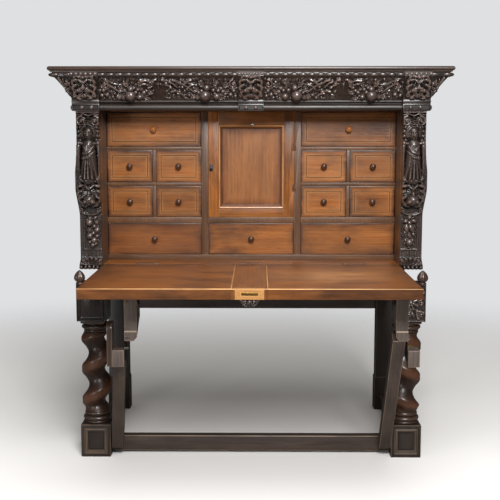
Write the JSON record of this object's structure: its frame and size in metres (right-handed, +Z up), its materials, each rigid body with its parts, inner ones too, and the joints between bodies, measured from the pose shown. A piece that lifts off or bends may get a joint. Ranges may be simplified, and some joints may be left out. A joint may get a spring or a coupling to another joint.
{
  "type": "court cupboard",
  "caption": "Carved oak fall-front cabinet on a barley-twist stand: writing flap on hinged props, drawers round a small door, figure pilasters and a carved cove cornice.",
  "frame": {"origin": "on the floor, at the middle of the whole piece's box with its fall front open", "axes": "+Z up, the front faces -Y, +X to the right of someone who looks at the front"},
  "size_m": [1.508, 1.2324, 1.5],
  "materials": {
    "dark_oak": "waxed, carved",
    "brown_oak": "waxed",
    "iron": "worn, dark",
    "brass": "worn"
  },
  "bodies": {
    "case": {"architrave": "dark_oak", "bank_dividers": "dark_oak", "bank_shelves": "dark_oak", "bank_uprights": "dark_oak", "block_studs": "dark_oak", "case_back": "dark_oak", "case_bottom": "dark_oak", "case_hinge_leaves": "iron", "case_sides": "dark_oak", "case_top": "dark_oak", "cornice_frieze": "dark_oak", "cornice_top": "dark_oak", "entablature_blocks": "dark_oak", "front_leg_left": "dark_oak", "front_leg_right": "dark_oak", "front_stretcher": "dark_oak", "hinge_pins": "iron", "leg_finials": "dark_oak", "pilaster_left": "dark_oak", "pilaster_right": "dark_oak", "plinth_rails": "dark_oak", "prop_foot_pins": "iron", "rear_leg_left": "dark_oak", "rear_leg_right": "dark_oak", "side_stretchers": "dark_oak", "stand_rails": "dark_oak"},
    "flap": {"flap_board_left": "brown_oak", "flap_centre_board": "brown_oak", "flap_board_right": "brown_oak", "flap_hinge_leaves": "iron", "flap_lock_block": "brown_oak", "flap_lock_plate": "brass", "flap_pendant": "dark_oak", "prop_cheeks": "iron", "prop_head_pins": "iron"},
    "door": {"door_frame": "brown_oak", "door_panel": "brown_oak", "door_moulding": "brown_oak", "door_latch": "iron", "door_hinge_leaves": "iron"},
    "head_left": {"prop_guard": "dark_oak", "prop_head_left": "dark_oak", "prop_strap_left": "iron"},
    "head_right": {"prop_head_right": "dark_oak", "prop_strap_right": "iron"},
    "strut_left": {"prop_strut_left": "dark_oak"},
    "strut_right": {"prop_strut_right": "dark_oak"},
    "drawer_left_wide": {"drawer_left_wide": "brown_oak"},
    "drawer_left_upper_outer": {"drawer_left_upper_outer": "brown_oak"},
    "drawer_left_upper_inner": {"drawer_left_upper_inner": "brown_oak"},
    "drawer_left_lower_outer": {"drawer_left_lower_outer": "brown_oak"},
    "drawer_left_lower_inner": {"drawer_left_lower_inner": "brown_oak"},
    "drawer_left_long": {"drawer_left_long": "brown_oak"},
    "drawer_right_wide": {"drawer_right_wide": "brown_oak"},
    "drawer_right_upper_outer": {"drawer_right_upper_outer": "brown_oak"},
    "drawer_right_upper_inner": {"drawer_right_upper_inner": "brown_oak"},
    "drawer_right_lower_outer": {"drawer_right_lower_outer": "brown_oak"},
    "drawer_right_lower_inner": {"drawer_right_lower_inner": "brown_oak"},
    "drawer_right_long": {"drawer_right_long": "brown_oak"},
    "drawer_centre_long": {"drawer_centre_long": "brown_oak"}
  },
  "joints": [
    {"name": "flap_hinge", "type": "hinge", "parent": "case", "child": "flap", "pos_m": [0, -0.03075, 0.75], "axis": [1, 0, 0], "range_deg": [-90, 0]},
    {"name": "door_hinge", "type": "hinge", "parent": "case", "child": "door", "pos_m": [0.17, 0.09425, 1.038], "axis": [0, 0, 1], "range_deg": [0, 90]},
    {"name": "head_left_fold", "type": "hinge", "parent": "flap", "child": "head_left", "pos_m": [-0.4185, -0.37175, 0.6687], "axis": [1, 0, 0], "range_deg": [-75, 0]},
    {"name": "head_right_fold", "type": "hinge", "parent": "flap", "child": "head_right", "pos_m": [0.532, -0.37175, 0.6687], "axis": [1, 0, 0], "range_deg": [-75, 0]},
    {"name": "strut_left_turn", "type": "hinge", "parent": "case", "child": "strut_left", "pos_m": [-0.5, -0.07675, 0.05], "axis": [1, 0, 0], "range_deg": [-33, 0]},
    {"name": "strut_right_turn", "type": "hinge", "parent": "case", "child": "strut_right", "pos_m": [0.5, -0.07675, 0.05], "axis": [1, 0, 0], "range_deg": [-33, 0]},
    {"name": "drawer_left_wide_slide", "type": "slide", "parent": "case", "child": "drawer_left_wide", "axis": [0, -1, 0], "range_m": [0, 0.3]},
    {"name": "drawer_left_upper_outer_slide", "type": "slide", "parent": "case", "child": "drawer_left_upper_outer", "axis": [0, -1, 0], "range_m": [0, 0.3]},
    {"name": "drawer_left_upper_inner_slide", "type": "slide", "parent": "case", "child": "drawer_left_upper_inner", "axis": [0, -1, 0], "range_m": [0, 0.3]},
    {"name": "drawer_left_lower_outer_slide", "type": "slide", "parent": "case", "child": "drawer_left_lower_outer", "axis": [0, -1, 0], "range_m": [0, 0.3]},
    {"name": "drawer_left_lower_inner_slide", "type": "slide", "parent": "case", "child": "drawer_left_lower_inner", "axis": [0, -1, 0], "range_m": [0, 0.3]},
    {"name": "drawer_left_long_slide", "type": "slide", "parent": "case", "child": "drawer_left_long", "axis": [0, -1, 0], "range_m": [0, 0.3]},
    {"name": "drawer_right_wide_slide", "type": "slide", "parent": "case", "child": "drawer_right_wide", "axis": [0, -1, 0], "range_m": [0, 0.3]},
    {"name": "drawer_right_upper_outer_slide", "type": "slide", "parent": "case", "child": "drawer_right_upper_outer", "axis": [0, -1, 0], "range_m": [0, 0.3]},
    {"name": "drawer_right_upper_inner_slide", "type": "slide", "parent": "case", "child": "drawer_right_upper_inner", "axis": [0, -1, 0], "range_m": [0, 0.3]},
    {"name": "drawer_right_lower_outer_slide", "type": "slide", "parent": "case", "child": "drawer_right_lower_outer", "axis": [0, -1, 0], "range_m": [0, 0.3]},
    {"name": "drawer_right_lower_inner_slide", "type": "slide", "parent": "case", "child": "drawer_right_lower_inner", "axis": [0, -1, 0], "range_m": [0, 0.3]},
    {"name": "drawer_right_long_slide", "type": "slide", "parent": "case", "child": "drawer_right_long", "axis": [0, -1, 0], "range_m": [0, 0.3]},
    {"name": "drawer_centre_long_slide", "type": "slide", "parent": "case", "child": "drawer_centre_long", "axis": [0, -1, 0], "range_m": [0, 0.3]}
  ]
}
